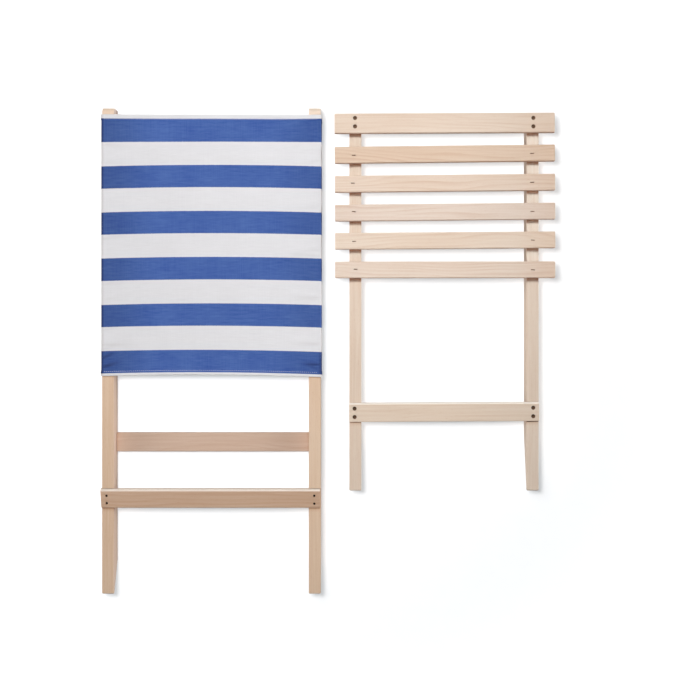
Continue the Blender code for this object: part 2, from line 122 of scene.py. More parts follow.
class Net:
    """Short hand for building node trees."""

    def __init__(self, tree):
        self.tree = tree

    def put(self, socket, value):
        """Link a socket, or set a number or colour; None leaves the input alone."""
        if isinstance(value, bpy.types.NodeSocket):
            self.tree.links.new(value, socket)
        elif value is not None:
            if isinstance(value, tuple) and len(value) == 3 and len(socket.default_value) == 4:
                value += (1.0,)
            socket.default_value = value

    def fill(self, node, values):
        for key, value in values.items():
            self.put(node.inputs[key], value)

    def node(self, kind, **settings):
        made = self.tree.nodes.new(kind)
        for key, value in settings.items():
            setattr(made, key, value)
        return made

    def math(self, operation, *values, clamp=False):
        made = self.node("ShaderNodeMath", operation=operation, use_clamp=clamp)
        for socket, value in zip(made.inputs, values):
            self.put(socket, value)
        return made.outputs[0]

    def times(self, value, gain):
        return self.math("MULTIPLY", value, gain)

    def add_scaled(self, base, *terms):
        """base plus each (value, gain) product."""
        for value, gain in terms:
            base = self.math("MULTIPLY_ADD", value, gain, base)
        return base

    def sway(self, base, *terms):
        """Add each (noise, gain), centred on zero, to base; a base of None starts afresh."""
        for value, gain in terms:
            centred = self.math("SUBTRACT", value, 0.5)
            if base is None:
                base = self.times(centred, gain)
            else:
                base = self.math("MULTIPLY_ADD", centred, gain, base)
        return base

    def vector(self, operation, first, second=None):
        made = self.node("ShaderNodeVectorMath", operation=operation)
        self.put(made.inputs[0], first)
        self.put(made.inputs[1], second)
        return made.outputs["Value"] if operation == "LENGTH" else made.outputs[0]

    def scale(self, vector, amount):
        made = self.node("ShaderNodeVectorMath", operation="SCALE")
        self.put(made.inputs[0], vector)
        self.put(made.inputs["Scale"], amount)
        return made.outputs[0]

    def split(self, vector):
        made = self.node("ShaderNodeSeparateXYZ")
        self.put(made.inputs[0], vector)
        return made.outputs

    def join(self, x, y, z):
        made = self.node("ShaderNodeCombineXYZ")
        for socket, value in zip(made.inputs, (x, y, z)):
            self.put(socket, value)
        return made.outputs[0]

    def noise(self, point, per_metre=None, detail=2.0, roughness=0.5):
        """Noise; per_metre is its frequency along each axis."""
        if per_metre:
            point = self.vector("MULTIPLY", point, per_metre)
        made = self.node("ShaderNodeTexNoise")
        self.fill(made, {"Vector": point, "Scale": 1.0, "Detail": detail,
                         "Roughness": roughness, "Distortion": 0.0})
        return made.outputs[0]

    def rise(self, value, start, stop, low=0.0, high=1.0, linear=False):
        """Pass from low to high as value goes from start to stop."""
        made = self.node("ShaderNodeMapRange",
                         interpolation_type="LINEAR" if linear else "SMOOTHSTEP")
        for socket, number in zip(made.inputs[0:5], (value, start, stop, low, high)):
            self.put(socket, number)
        return made.outputs[0]

    def fall(self, value, start, stop, linear=False):
        return self.rise(value, start, stop, low=1.0, high=0.0, linear=linear)

    def mix(self, factor, first, second, blend="MIX"):
        made = self.node("ShaderNodeMix", data_type="RGBA", blend_type=blend)
        self.put(made.inputs[0], factor)
        self.put(made.inputs[6], first)
        self.put(made.inputs[7], second)
        return made.outputs[2]

    def tint(self, first, second):
        return self.mix(1.0, first, second, "MULTIPLY")

    def openness(self, lean, distance, samples):
        """Ambient occlusion looking along the normal tipped by lean, 1 in the open."""
        aim = self.vector("ADD", self.node("ShaderNodeNewGeometry").outputs["Normal"], lean)
        made = self.node("ShaderNodeAmbientOcclusion", samples=samples)
        self.fill(made, {"Distance": distance, "Normal": self.vector("NORMALIZE", aim)})
        return made.outputs["AO"]

    def bump(self, shader, height, strength, distance):
        made = self.node("ShaderNodeBump")
        self.fill(made, {"Strength": strength, "Distance": distance, "Height": height})
        self.put(shader.inputs["Normal"], made.outputs[0])

    def object_place(self):
        return self.node("ShaderNodeTexCoord").outputs["Object"]


def new_material(name):
    material = bpy.data.materials.new(name)
    material.use_nodes = True
    tree = material.node_tree
    return material, Net(tree), tree.nodes["Principled BSDF"]


# --------------------------------------------------------------------- timber
SEED_SHIFT = (1.37, 0.731, 0.419)       # metres moved through the wood per unit of seed
GRAIN_DARK = (0.80, 0.655, 0.545)       # tint of the dark grain
GRAIN_LIGHT = (0.98, 0.93, 0.86)
SAWN_DARK = (0.88, 0.82, 0.78)          # further tint of the arcs on a sawn end
RING_CENTRE = (0.0, 0.03, -0.09)        # offset of the arcs' centre, metres
RINGS_PER_METRE = 420.0


def timber_group():
    """Planed beech: P is metres, x along the grain, y across the face, z into the board."""
    tree = bpy.data.node_groups.new("timber", "ShaderNodeTree")
    inputs = (("P", "Vector"), ("Seed", "Float"), ("Figure", "Float"), ("Tone", "Color"),
              ("End", "Float"))
    outputs = (("Color", "Color"), ("Roughness", "Float"), ("Height", "Float"))
    for way, sockets in (("INPUT", inputs), ("OUTPUT", outputs)):
        for name, kind in sockets:
            tree.interface.new_socket(name, in_out=way, socket_type="NodeSocket" + kind)
    net = Net(tree)
    given = net.node("NodeGroupInput").outputs
    base, end = given["Tone"], given["End"]
    shift = net.join(*(net.times(given["Seed"], step) for step in SEED_SHIFT))
    point = net.vector("ADD", given["P"], shift)

    # slow wander of the growth layers along the board, which draws the figure
    wander = net.noise(point, per_metre=(3.4, 17.0, 17.0), detail=1.5, roughness=0.45)
    drift = net.noise(point, per_metre=(1.1, 4.0, 4.0), detail=0.0)
    _, across, deep = net.split(point)
    layers = net.add_scaled(net.times(deep, 60.0), (across, 125.0), (wander, 7.5), (drift, 8.0))
    ring = net.math("FRACT", layers)
    # each ring darkens slowly, then ends abruptly
    ring = net.times(net.rise(ring, 0.35, 0.93), net.fall(ring, 0.93, 1.0))
    uneven = net.noise(point, per_metre=(5.0, 60.0, 60.0), detail=1.0)
    ring = net.times(ring, net.rise(uneven, 0.30, 0.72, low=0.15))
    ring = net.times(ring, given["Figure"])

    streak = net.noise(point, per_metre=(5.5, 330.0, 330.0), detail=3.0, roughness=0.62)
    fibre = net.noise(point, per_metre=(26.0, 1500.0, 1500.0), roughness=0.6)
    fleck = net.noise(point, per_metre=(115.0, 1350.0, 1350.0), detail=1.0)
    fleck = net.rise(fleck, 0.655, 0.74)
    cloud = net.noise(point, per_metre=(5.0, 26.0, 26.0))

    # how dark the grain is; below zero it turns light
    dark = net.tint(base, GRAIN_DARK)
    amount = net.sway(net.times(ring, 0.42), (streak, 0.75), (fibre, 0.22), (cloud, 0.45))
    amount = net.add_scaled(amount, (fleck, 0.38))
    colour = net.mix(net.math("ADD", amount, 0.08, clamp=True), base, dark)
    light = net.math("SUBTRACT", 0.0, amount, clamp=True)
    colour = net.mix(net.math("MULTIPLY", light, 0.30, clamp=True), colour, GRAIN_LIGHT)

    # sawn ends: rings seen face on, a little darker and duller
    speck = net.noise(point, per_metre=(300.0, 900.0, 900.0))
    cut = net.mix(net.rise(speck, 0.40, 0.66, low=0.15, high=0.75), base, dark)
    section = net.vector("MULTIPLY", given["P"], (0.0, 1.0, 1.0))
    radius = net.vector("LENGTH", net.vector("ADD", section, RING_CENTRE))
    arcs = net.math("FRACT", net.times(radius, RINGS_PER_METRE))
    cut = net.mix(net.rise(arcs, 0.70, 1.0, high=0.55), cut, net.tint(dark, SAWN_DARK))

    height = net.sway(None, (fibre, 0.35), (streak, 0.45))
    net.fill(net.node("NodeGroupOutput"), {
        "Color": net.mix(end, colour, cut),
        "Roughness": net.add_scaled(net.sway(0.60, (streak, 0.16)), (end, 0.15)),
        "Height": net.add_scaled(height, (fleck, -0.55))})
    return tree


TIMBER = timber_group()

# node: (finish colour, seed, axis of the grain, strength of the figure, material slot)
BOARDS = {
    "back_rail_left": ((224, 194, 167), 1.3, "Y", 0.3, "back_timber"),
    "back_rail_right": ((230, 202, 176), 2.9, "Y", 0.3, "back_timber"),
    "back_top_crossbar": ((217, 187, 163), 4.1, "X", 0.8, "crossbar_timber"),
    "back_middle_crossbar": ((221, 192, 172), 5.7, "X", 0.8, "crossbar_timber"),
    "back_lower_crossbar": ((206, 174, 149), 6.2, "X", 0.7, "crossbar_timber"),
    "seat_rail_left": ((229, 209, 191), 7.9, "Y", 0.3, "seat_timber"),
    "seat_rail_right": ((233, 215, 198), 8.4, "Y", 0.3, "seat_timber"),
    "seat_crossbar": ((233, 215, 197), 9.6, "X", 0.5, "seat_timber"),
    "seat_slat_1": ((230, 211, 194), 11.2, "X", 0.75, "slat_timber"),
    "seat_slat_2": ((226, 202, 181), 12.8, "X", 1.15, "slat_timber"),
    "seat_slat_3": ((232, 212, 195), 13.3, "X", 0.9, "slat_timber"),
    "seat_slat_4": ((232, 215, 202), 14.7, "X", 1.0, "slat_timber"),
    "seat_slat_5": ((235, 217, 200), 15.1, "X", 0.8, "slat_timber"),
    "seat_slat_6": ((233, 215, 200), 16.5, "X", 0.9, "slat_timber"),
}
# painted light: paler colour of the rail sides, which face along x
PAINTED_FLANK_LIGHT = {
    "back_rail_left": (228, 204, 188),
    "back_rail_right": (228, 204, 188),
    "seat_rail_left": (238, 220, 204),
    "seat_rail_right": (242, 224, 208),
}
# paler colour of the rounded upper edges that the other half slides over: partly worn, polished
# wood, partly a painted highlight where the rounding faces the lamp
LIP_WEAR_AND_HIGHLIGHT = {
    "back_lower_crossbar": (233, 220, 208),
    "seat_crossbar": (246, 237, 227),
}
# painted light: pale tips at the upper end of the back rails
TIP_PAINTED_LIGHT = {
    "back_rail_left": (232, 207, 185),
    "back_rail_right": (238, 219, 201),
}
# (tint of the painted light on the rail tops where the slats lie, strength of the painted
# shadow in the joint at the crossbar)
SEAT_RAILS = {
    "seat_rail_left": ((1.0, 1.05, 1.08), 0.38),
    "seat_rail_right": ((1.08, 1.15, 1.20), 0.90),
}
# painted shadow in the joint under the seat crossbar
JOINT_SHADOW = tone(72, 50, 38)
# painted shade on the right-hand ends of the slats
SLAT_END_SHADE = (0.95, 0.89, 0.845)
FLANK_SHADOW = (0.50, 0.36, 0.30)       # painted shadow on the rail sides near the floor
WARM_SHADE = (0.80, 0.66, 0.57)               # painted warm shade where boards stand close
SEAT_WARM_SHADE = (0.66, 0.38, 0.27)          # the same between the slats
# from where to where a normal's component counts as facing that way
FACES_END = (0.80, 0.95)
FACES_SIDE = (0.35, 0.80)
FACES_UP = (0.45, 0.85)


def seat_rail_marks(net, wood, node, place, face_z):
    """Painted light on the rail tops where the slats lie, and a painted shadow line in the
    joint under the crossbar.
    """
    slat_zone_light, joint_shadow_strength = SEAT_RAILS[node]
    x, y, _ = place
    # painted light on the rail tops where the slats lie
    slat_zone = net.times(net.rise(y, 0.124, 0.136), net.rise(face_z, *FACES_UP))
    wood = net.mix(slat_zone, wood, net.vector("MULTIPLY", wood, slat_zone_light))
    joint_y = net.math("MULTIPLY_ADD", x, 0.0046, -0.13055)      # a slightly sloping line
    away = net.math("ABSOLUTE", net.math("SUBTRACT", y, joint_y))
    # painted shadow line in the joint under the crossbar
    joint_shadow = net.times(net.fall(away, 0.0006, 0.0011), net.rise(face_z, *FACES_UP))
    return net.mix(net.times(joint_shadow, joint_shadow_strength), wood, JOINT_SHADOW)


def timber(node, top_edge):
    """One board's finish; top_edge is the y of its upper edge."""
    colour, seed, grain, figure, _ = BOARDS[node]
    material, net, shader = new_material("beech_" + node)
    coords = net.node("ShaderNodeTexCoord")
    place = net.split(coords.outputs["Object"])
    x, y, z = place
    point = net.join(x, y, z) if grain == "X" else net.join(y, x, z)
    face_x, face_y, face_z = net.split(coords.outputs["Normal"])
    end = net.math("ABSOLUTE", face_x if grain == "X" else face_y)
    group = net.node("ShaderNodeGroup", node_tree=TIMBER)
    net.fill(group, {"P": point, "Seed": seed, "Figure": figure, "Tone": tone(*colour),
                     "End": net.rise(end, *FACES_END)})

    # painted light falloff: the boards are palest towards the top left and darker down the legs
    # and to the right
    painted_falloff = net.times(net.math("SUBTRACT", 0.08, y, clamp=True), 0.33)
    painted_falloff = net.math("ADD", painted_falloff, net.times(net.rise(x, 0.17, 0.42), 0.11))
    wood = net.scale(group.outputs["Color"], net.math("SUBTRACT", 1.0, painted_falloff))
    # painted light on the pale tips of the back rails
    if node in TIP_PAINTED_LIGHT:
        wood = net.mix(net.rise(y, 0.428, 0.437), wood, tone(*TIP_PAINTED_LIGHT[node]))
    if node in SEAT_RAILS:
        wood = seat_rail_marks(net, wood, node, place, face_z)
    if node.startswith("seat_slat"):
        # painted shade on the right-hand ends of the slats, strongest on the lowest
        painted_light_mask = net.times(net.rise(x, 0.33, 0.41),
                         net.rise(y, 0.43, 0.14, low=0.25, linear=True))
        wood = net.mix(painted_light_mask, wood, net.tint(wood, SLAT_END_SHADE))
    # painted light: the rail sides are painted paler than the tops
    if node in PAINTED_FLANK_LIGHT:
        change = tuple(a / b for a, b in zip(tone(*PAINTED_FLANK_LIGHT[node]), tone(*colour)))
        sideways = net.rise(net.math("ABSOLUTE", face_x), *FACES_SIDE)
        wood = net.mix(sideways, wood, net.vector("MULTIPLY", wood, change))
    if node.startswith("back_rail"):
        # painted shadow: the sides darken towards the floor, most of all just below the cloth
        low = net.times(net.rise(z, 0.022, 0.004),
                        net.rise(y, -0.125, -0.055, low=0.35, linear=True))
        low = net.times(low, net.rise(net.math("ABSOLUTE", face_x), *FACES_SIDE))
        wood = net.mix(low, wood, net.tint(wood, FLANK_SHADOW))

    # painted warm shade where a board stands close on the side the light comes from
    near = net.openness(lean=(0.0, 1.2, 0.0), distance=0.0090, samples=6)
    deep = net.rise(near, 0.74, 0.36, linear=True)
    warm_shade = WARM_SHADE
    if "seat" in node:
        warm_shade = net.mix(net.rise(y, 0.0, 0.10), WARM_SHADE, SEAT_WARM_SHADE)
    wood = net.mix(deep, wood, net.tint(wood, warm_shade))
    # partly wear, partly a painted highlight on the rounded upper edge
    if node in LIP_WEAR_AND_HIGHLIGHT:
        painted_light_mask = net.times(net.rise(face_y, 0.10, 0.42), net.rise(face_z, 0.05, 0.30))
        painted_light_mask = net.times(painted_light_mask, net.rise(y, top_edge - 0.0088, top_edge - 0.0072))
        wood = net.mix(painted_light_mask, wood, tone(*LIP_WEAR_AND_HIGHLIGHT[node]))
        net.fill(shader, {"Coat Weight": net.times(painted_light_mask, 0.9), "Coat Roughness": 0.45})
    net.fill(shader, {"Base Color": wood, "Roughness": group.outputs["Roughness"],
                      "Specular IOR Level": 0.28})
    net.bump(shader, group.outputs["Height"], strength=0.35, distance=0.00012)
    return material


def board(node):
    """The board's own shape, its flat faces whole again and its rounded edges shaded round."""
    solid = bmesh.new()
    solid.from_mesh(nodes[node].data)
    for layer in list(solid.loops.layers.uv):
        solid.loops.layers.uv.remove(layer)
    bmesh.ops.remove_doubles(solid, verts=solid.verts, dist=2e-6)
    bmesh.ops.dissolve_limit(solid, angle_limit=radians(0.4), verts=solid.verts,
                             edges=solid.edges, use_dissolve_boundaries=False)
    bmesh.ops.triangulate(solid, faces=[f for f in solid.faces if len(f.verts) > 4],
                          quad_method="BEAUTY", ngon_method="BEAUTY")
    made = shaded_object("planed_" + node, to_mesh("planed_" + node, solid),
                         timber(node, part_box(node)[1].y), sharp=38)
    weighted = made.modifiers.new("even shading", "WEIGHTED_NORMAL")
    weighted.keep_sharp = True
    weighted.weight = 80
    stand_for(made, node)


# ---------------------------------------------------------------------- metal
def metal(name, colour, stain, roughness, bare=0.85, recess_shade=None):
    """Bright wire or a browned screw, with small stains and turning marks.

    bare is the metallic share; the last argument is the colour of the painted shade under the
    recess's rim.
    """
    material, net, shader = new_material(name)
    place = net.object_place()
    blot = net.noise(place, per_metre=(900.0, 900.0, 900.0), detail=3.0, roughness=0.6)
    fine = net.noise(place, per_metre=(5200.0, 5200.0, 5200.0))
    surface = net.mix(net.rise(blot, 0.42, 0.66), tone(*colour), tone(*stain))
    # painted shade under the recess's rim, where the hole's wall shades the head
    if recess_shade:
        near = net.openness(lean=(-0.35, 0.55, 0.0), distance=0.0040, samples=8)
        surface = net.mix(net.rise(near, 0.95, 0.45, linear=True), surface, tone(*recess_shade))
    net.fill(shader, {"Base Color": surface, "Metallic": bare,
                      "Roughness": net.add_scaled(roughness, (fine, 0.25))})
    net.bump(shader, fine, strength=0.25, distance=0.00006)
    return material


# ------------------------------------------------------------------ the cloth
# The sheet is told in millimetres. A level runs up the cloth; girth runs round it, from
# the left rear flap over the front to the right one. Side is -1 at the left rail, 1 at
# the right.
CLOTH_LOW, CLOTH_HIGH = -43.9, 432.3
HALF_W = 200.3                 # inner face of the sheet beside the rail
FRONT_IN, REAR_IN = 42.6, 2.0  # inner face over and under the rail
INNER_R = 1.15
FLAP = 16.2
THICK = 1.15
HEM = 9.6
STITCH_IN = HEM - 1.2          # stitching line from the cloth's edge
CORNER_STEPS, FLAP_STEPS, SIDE_STEPS, FRONT_STEPS, BODY_STEPS = 6, 6, 10, 112, 128
HEM_STEPS = ((0.25, 4), (0.6, 5), (0.85, 14))     # (spacing, count) from an edge inwards
BLUE_BANDS = ((382.7, 424.6), (299.6, 340.3), (215.5, 256.2), (130.9, 172.1),
              (46.3, 87.1), (-38.9, 2.1))         # levels of the lower and upper edges
# soft ridges in the sheet: (start x, start y, length, heading in degrees, height)
RIDGES = (
    # fan of pulls from the lower left corner
    (-198.0, -34.0, 34.0, 10.0, 1.15), (-198.0, -17.0, 26.0, 14.0, 0.90),
    (-198.0, -1.0, 40.0, 8.0, 0.45), (-198.0, 7.6, 60.0, -7.5, 0.60),
    (-198.0, 33.0, 44.0, 4.0, 0.35), (-198.0, 88.0, 50.0, 3.0, 0.35),
    # soft pulls from the right edge
    (197.0, 178.0, 62.0, 176.0, 0.60), (197.0, 190.0, 50.0, 184.0, 0.40),
    (197.0, 101.0, 54.0, 176.0, 0.65), (197.0, 17.0, 60.0, 175.0, 0.65),
    (198.0, -30.0, 26.0, 150.0, 0.50), (198.0, -20.5, 34.0, 171.0, 1.00),
    (197.0, 268.0, 48.0, 178.0, 0.50), (197.0, 352.0, 44.0, 184.0, 0.40),
    # and from the left edge
    (-197.0, 200.0, 50.0, 4.0, 0.55), (-197.0, 118.0, 46.0, -5.0, 0.60),
    (-197.0, 290.0, 44.0, 4.0, 0.50), (-197.0, 372.0, 48.0, -10.0, 0.60),
    (-197.0, 340.0, 40.0, -4.0, 0.45),
)
BLUE_DEEP, BLUE_PALE, BLUE_SHADE = tone(45, 75, 153), tone(89, 120, 184), tone(24, 25, 74)
WHITE_DULL, WHITE_CLEAN = tone(215, 214, 218), tone(240, 240, 244)
WHITE_SHADE, WHITE_SHADE_DEEP = tone(180, 178, 182), tone(176, 160, 154)
DYE_WOBBLE = 0.0007            # metres the dyed edge strays
DYE_SOFT = 0.00025             # metres over which it fades
GIRTH_MIDDLE = 0.256           # metres
WARP_PITCH, WEFT_PITCH = 0.0011, 0.0009


def cloth_material():
    material, net, shader = new_material("striped_canvas")
    girth, level, _ = net.split(net.node("ShaderNodeUVMap", uv_map="cloth").outputs[0])  # m

    def weave_noise(per_girth, per_level, offset, roughness=0.5):
        point = net.join(net.times(girth, per_girth), net.times(level, per_level), offset)
        return net.noise(point, roughness=roughness)

    # thread by thread wobble of the dyed edge
    dyed_level = net.sway(level, (weave_noise(420.0, 25.0, 0.0), DYE_WOBBLE))
    blue = 0.0
    for low, high in BLUE_BANDS:
        middle, half = (low + high) / 2000, (high - low) / 2000
        away = net.math("ABSOLUTE", net.math("SUBTRACT", dyed_level, middle))
        band = net.fall(away, half - DYE_SOFT, half + DYE_SOFT, linear=True)
        blue = net.math("ADD", blue, band, clamp=True)

    # coloured warp over pale weft: short sideways slubs and faint upright lines
    slub = weave_noise(62.0, 1100.0, 0.0, roughness=0.6)
    broad = weave_noise(26.0, 260.0, 3.0)
    upright = weave_noise(700.0, 16.0, 7.0, roughness=0.6)
    cloud = weave_noise(13.0, 19.0, 11.0)
    heather = net.sway(None, (slub, 0.9), (broad, 0.55), (upright, 0.45), (cloud, 0.45))
    blue_dye = net.mix(net.math("ADD", heather, 0.5, clamp=True), BLUE_DEEP, BLUE_PALE)
    white_dye = net.mix(net.math("ADD", net.times(heather, 0.55), 0.5, clamp=True),
                        WHITE_DULL, WHITE_CLEAN)
    # painted shade in the troughs and at the edges
    shade = net.node("ShaderNodeAttribute", attribute_name="shade").outputs["Fac"]
    blue_dye = net.mix(shade, blue_dye, BLUE_SHADE)
    white_dye = net.mix(net.times(shade, 0.55), white_dye,
                        net.mix(shade, WHITE_SHADE, WHITE_SHADE_DEEP))
    # painted shade: the blue a little darker towards both sides, the white towards the left
    side = net.times(net.math("SUBTRACT", girth, GIRTH_MIDDLE), 5.0)
    keep = net.times(net.rise(side, -0.97, -0.45, low=0.75),
                     net.rise(side, 0.50, 0.95, low=1.0, high=0.86))
    blue_dye = net.scale(blue_dye, keep)
    white_dye = net.scale(white_dye, net.rise(side, -0.9, 0.5, low=0.945))
    net.fill(shader, {"Base Color": net.mix(blue, white_dye, blue_dye), "Roughness": 0.86,
                      "Specular IOR Level": 0.18, "Sheen Weight": 0.10, "Sheen Roughness": 0.5})

    # plain weave, each float a small mound
    warp = net.math("SINE", net.times(girth, 2 * pi / WARP_PITCH))
    weft = net.math("SINE", net.times(level, 2 * pi / WEFT_PITCH))
    height = net.add_scaled(net.times(slub, 0.9), (net.times(warp, weft), 0.35))
    net.bump(shader, height, strength=0.30, distance=0.00012)
    return material


def thread_material():
    material, net, shader = new_material("hem_thread")
    twist = net.noise(net.object_place(), per_metre=(2600.0, 5200.0, 5200.0))
    colour = net.mix(twist, tone(180, 184, 203), tone(220, 222, 232))
    net.fill(shader, {"Base Color": colour, "Roughness": 0.75})
    net.bump(shader, twist, strength=0.4, distance=0.0001)
    return material


# one place round the inner face, x measured from BACK_X, with the direction outwards
Column = namedtuple("Column", "x z out_x out_z girth zone")


def cloth_path():
    """Columns round the inner face, from the left flap over the front to the right one."""
    bend_x = -HALF_W + INNER_R
    straight = FRONT_IN - REAR_IN - 2 * INNER_R

    def corner(centre_z, start, zone):
        """A quarter turn of the left side, clockwise from start degrees."""
        turn = [radians(start - 90 * k / CORNER_STEPS) for k in range(CORNER_STEPS + 1)]
        return [(bend_x + INNER_R * cos(a), centre_z + INNER_R * sin(a), cos(a), sin(a), zone)
                for a in turn]

    left = [(-HALF_W + FLAP - (FLAP - INNER_R) * k / FLAP_STEPS, REAR_IN, 0, -1, "flap")
            for k in range(FLAP_STEPS)]
    left += corner(REAR_IN + INNER_R, 270, "side")
    left += [(-HALF_W, REAR_IN + INNER_R + straight * k / SIDE_STEPS, -1, 0, "side")
             for k in range(1, SIDE_STEPS)]
    left += corner(FRONT_IN - INNER_R, 180, "front")
    front = [(bend_x - 2 * bend_x * k / FRONT_STEPS, FRONT_IN, 0, 1, "front")
             for k in range(1, FRONT_STEPS)]
    right = [(-x, z, -out_x, out_z, zone) for x, z, out_x, out_z, zone in reversed(left)]

    columns = []
    girth = 0.0
    last_x, last_z = left[0][:2]
    for x, z, out_x, out_z, zone in left + front + right:
        girth += sqrt((x - last_x) ** 2 + (z - last_z) ** 2)
        columns.append(Column(x, z, out_x, out_z, girth, zone))
        last_x, last_z = x, z
    return columns


def cloth_levels():
    """Levels up the cloth, closer together in the hems."""
    def march(level, direction):
        marks = []
        for step, count in HEM_STEPS:
            for _ in range(count):
                marks.append(level)
                level += direction * step
        return marks, level

    low, body_low = march(CLOTH_LOW, 1)
    high, body_high = march(CLOTH_HIGH, -1)
    body = [body_low + (body_high - body_low) * k / BODY_STEPS for k in range(BODY_STEPS + 1)]
    return low + body + high[::-1]


def cloth_y(level, side):
    """y of a level at a side: its edges droop, and it leans at the bottom."""
    arch = 1.0 - smooth(330.0, 415.0, level)
    lean = 1.0 - smooth(-30.0, 110.0, level)
    top = smooth(390.0, 432.0, level)
    y = level - 3.2 * side * side * arch - 0.9 * side * lean
    left_rise = 0.9 * max(0.0, -side - 0.45)
    right_rise = 2.6 * max(0.0, side - 0.62) - 1.1 * max(0.0, side)
    return y + top * (left_rise + right_rise)


def ridges_near(x, y):
    """(along, across, width, length, height) of each ridge that may touch a spot."""
    for start_x, start_y, length, heading, height in RIDGES:
        angle = radians(heading)
        off_x, off_y = x - start_x, y - start_y
        along = off_x * cos(angle) + off_y * sin(angle)
        across = -off_x * sin(angle) + off_y * cos(angle)
        if along > -6.0 and abs(across) < 16.0:
            yield along, across, 2.3 + along * 0.05, length, height


def cloth_lift(x, y, level):
    """How far the front sheet stands off the plane over the rails."""
    inside = max(0.0, 1.0 - (x / 178.0) ** 2)
    hem_hold = 1.0 - 0.35 * (smooth(400, 432, level) + 1 - smooth(-44, -10, level))
    lift = -1.5 * inside * hem_hold
    wave = noise.noise(Vector((x * 0.009, y * 0.030, 4.2))) * 0.34
    wave += noise.noise(Vector((x * 0.022, y * 0.075, 9.7))) * 0.13
    lift += wave * smooth(1.0, 0.80, abs(x) / 199.0)
    at_edge = smooth(201.0, 190.0, abs(x))
    for along, across, width, length, height in ridges_near(x, y):
        fade = smooth(-6.0, 10.0, along) * (1.0 - smooth(length * 0.35, length * 1.3, along))
        crest = exp(-(across / width) ** 2)
        trough = 0.55 * exp(-((across - 2.1 * width) / width) ** 2)
        lift += height * fade * (crest - trough) * at_edge
    # over a rail it can rise but hardly sink
    return max(lift, -0.22 - 3.0 * max(0.0, 177.5 - abs(x)))


def crease(x, y):
    """How deep in the trough beside a ridge a spot lies, 0 to 1."""
    deep = 0.0
    for along, across, width, length, height in ridges_near(x, y):
        fade = smooth(-6.0, 4.0, along) * (1.0 - smooth(length * 0.15, length * 1.2, along))
        deep += height * fade * exp(-((across - 2.0 * width) / width) ** 2)
    return min(1.0, deep)


def cloth_thickness(level):
    """Folded hems are thicker, drawn in along their stitching and rounded at the edge."""
    inward = min(level - CLOTH_LOW, CLOTH_HIGH - level)
    body = THICK + 0.95 * (1.0 - smooth(HEM - 0.5, HEM + 1.3, inward))
    body -= 0.55 * exp(-((inward - STITCH_IN) / 0.75) ** 2)
    if inward < 1.0:
        body *= sqrt(max(0.0, 1.0 - (1.0 - max(inward, 0.0)) ** 2)) * 0.75 + 0.25
    return body


def cloth_point(column, level, outer=True, extra=0.0):
    """A point of the outer or inner face in metres; extra stands further out."""
    x, z, out_x, out_z, _, zone = column
    thick = cloth_thickness(level)
    lift = 0.0
    if zone == "front":
        y = cloth_y(level, max(-1.0, min(1.0, x / HALF_W)))
        lift = cloth_lift(x, y, level) * max(0.0, out_z)
    else:
        y = cloth_y(level, 1.0 if x > 0 else -1.0)
        thick = min(thick, THICK + 0.7)
        if zone == "flap":
            y += noise.noise(Vector((x * 0.2, level * 0.02, 1.0))) * 0.2
            thick = min(thick, 1.9) if False else min(cloth_thickness(level), 1.9)
    off = (thick if outer else 0.0) + extra
    return ((x + out_x * off) * MM + BACK_X, y * MM, (z + out_z * off + lift) * MM)


def cloth_shade(column, y, level, outer):
    """Painted darkness: the left edge, the troughs and the lower right edge."""
    share = column.x / HALF_W
    dark = 0.0
    if share < 0:
        dark = {"front": smooth(0.985, 1.0, -share), "side": 0.55, "flap": 0.2}[column.zone]
    if column.zone == "front" and outer:
        dark = max(dark, 0.58 * crease(column.x, y))
        if share > 0:
            low = 1.0 - smooth(-16.0, 24.0, level)
            dark = max(dark, 0.7 * smooth(0.984, 1.0, share) * low)
    return dark * (0.92 if outer else 0.3)


def build_cloth():
    path = cloth_path()
    levels = cloth_levels()
    solid = bmesh.new()
    uv = solid.loops.layers.uv.new("cloth")
    shade = solid.verts.layers.float.new("shade")
    spot = {}

    def sheet(outer):
        grid = []
        for level in levels:
            line = []
            for column in path:
                vert = solid.verts.new(cloth_point(column, level, outer))
                vert[shade] = cloth_shade(column, vert.co.y / MM, level, outer)
                spot[vert] = (column.girth * MM, level * MM)
                line.append(vert)
            grid.append(line)
        return grid

    def face(*verts):
        for loop in solid.faces.new(verts).loops:
            loop[uv].uv = spot[loop.vert]

    out = sheet(True)
    inn = sheet(False)
    rows, spans = range(len(levels) - 1), range(len(path) - 1)
    for i in rows:
        for j in spans:
            face(out[i][j], out[i + 1][j], out[i + 1][j + 1], out[i][j + 1])
            face(inn[i][j], inn[i][j + 1], inn[i + 1][j + 1], inn[i + 1][j])
    for j in spans:
        face(out[0][j], out[0][j + 1], inn[0][j + 1], inn[0][j])
        face(out[-1][j], inn[-1][j], inn[-1][j + 1], out[-1][j + 1])
    for i in rows:
        face(out[i][0], inn[i][0], inn[i + 1][0], out[i + 1][0])
        face(out[i][-1], out[i + 1][-1], inn[i + 1][-1], inn[i][-1])
    bmesh.ops.recalc_face_normals(solid, faces=solid.faces)
    mesh = to_mesh("striped_panel", solid)
    return shaded_object("striped_panel", mesh, cloth_material(), sharp=65)


STITCH_START, STITCH_END = -196.5, 194.0
STITCH_LENGTH, STITCH_PITCH = 2.9, 3.55
THREAD_R = 0.36 * MM
THREAD_SIDES = 6
# (share of the length, share of the radius, rise in radii) of each ring of a stitch
STITCH_RINGS = ((0.0, 0.45, -1.0), (0.10, 0.85, -0.35), (0.3, 1.0, 0.1),
                (0.7, 1.0, 0.1), (0.90, 0.85, -0.35), (1.0, 0.45, -1.0))


